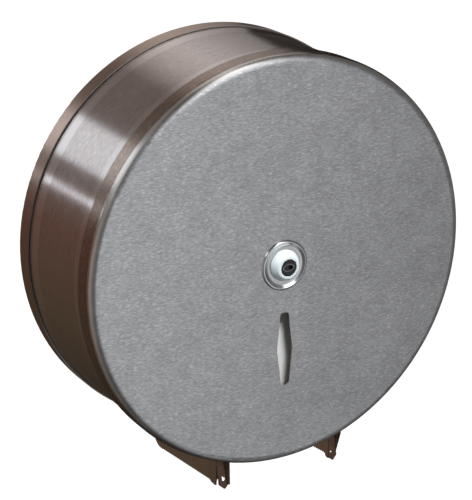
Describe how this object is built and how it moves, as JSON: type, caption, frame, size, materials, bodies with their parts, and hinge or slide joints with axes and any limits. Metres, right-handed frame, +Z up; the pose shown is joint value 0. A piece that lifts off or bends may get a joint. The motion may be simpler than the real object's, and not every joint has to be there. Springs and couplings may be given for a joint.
{
  "type": "jumbo toilet roll dispenser",
  "caption": "Round wall-mounted steel drum for a jumbo toilet roll, with a lift-off cover, a key lock in the face, a sight slot and toothed tear bars below.",
  "frame": {"origin": "the drum's centre line where it meets the wall, the middle of the four wall holes", "axes": "+Y into the wall, +Z up, the face looks along -Y"},
  "size_m": [0.31, 0.126, 0.3294],
  "materials": {
    "face_steel": "fine horizontal brushing",
    "band_steel": "brushed round the drum, burnished steps",
    "pan_steel": "brushed rim, plain mill-finish floor",
    "bar_steel": "lightly brushed folded sheet",
    "polished_steel": "mirror polished",
    "fastener_steel": "bright zinc plate",
    "zinc_steel": "dull zinc plate",
    "nose_plastic": "smooth white moulding",
    "spindle_plastic": "white moulding with a fine grain",
    "plug_plastic": "black moulding",
    "tissue_paper": "soft wound tissue",
    "grey_cardboard": "spiral-wound board"
  },
  "bodies": {
    "wall_unit": {"back_pan": "pan_steel", "cover_stops": "pan_steel", "spindle": "spindle_plastic", "spindle_bolts": "fastener_steel", "spindle_washers": "fastener_steel", "spindle_nuts": "fastener_steel", "keeper_plate": "zinc_steel", "keeper_screws": "fastener_steel"},
    "cover": {"front_cap": "face_steel", "barrel_band": "band_steel", "tear_bar_left": "bar_steel", "tear_bar_right": "bar_steel", "tear_bar_rivets": "fastener_steel", "lock_collar": "polished_steel", "lock_case": "nose_plastic", "lock_washer": "zinc_steel", "lock_nut": "zinc_steel"},
    "lock": {"lock_plug": "plug_plastic", "key_liner": "polished_steel", "lock_cam": "zinc_steel", "cam_screw": "fastener_steel"},
    "roll": {"paper_roll": "tissue_paper", "cardboard_core": "grey_cardboard", "core_adapter": "spindle_plastic"}
  },
  "joints": [
    {"name": "cover_slide", "type": "slide", "parent": "wall_unit", "child": "cover", "axis": [0, -1, 0], "range_m": [0, 0.13]},
    {"name": "lock_turn", "type": "hinge", "parent": "cover", "child": "lock", "pos_m": [0, -0.115, 0], "axis": [0, 1, 0], "range_deg": [0, 90]},
    {"name": "roll_spin", "type": "hinge", "parent": "wall_unit", "child": "roll", "pos_m": [0, -0.062, 0], "axis": [0, -1, 0], "continuous": true}
  ]
}
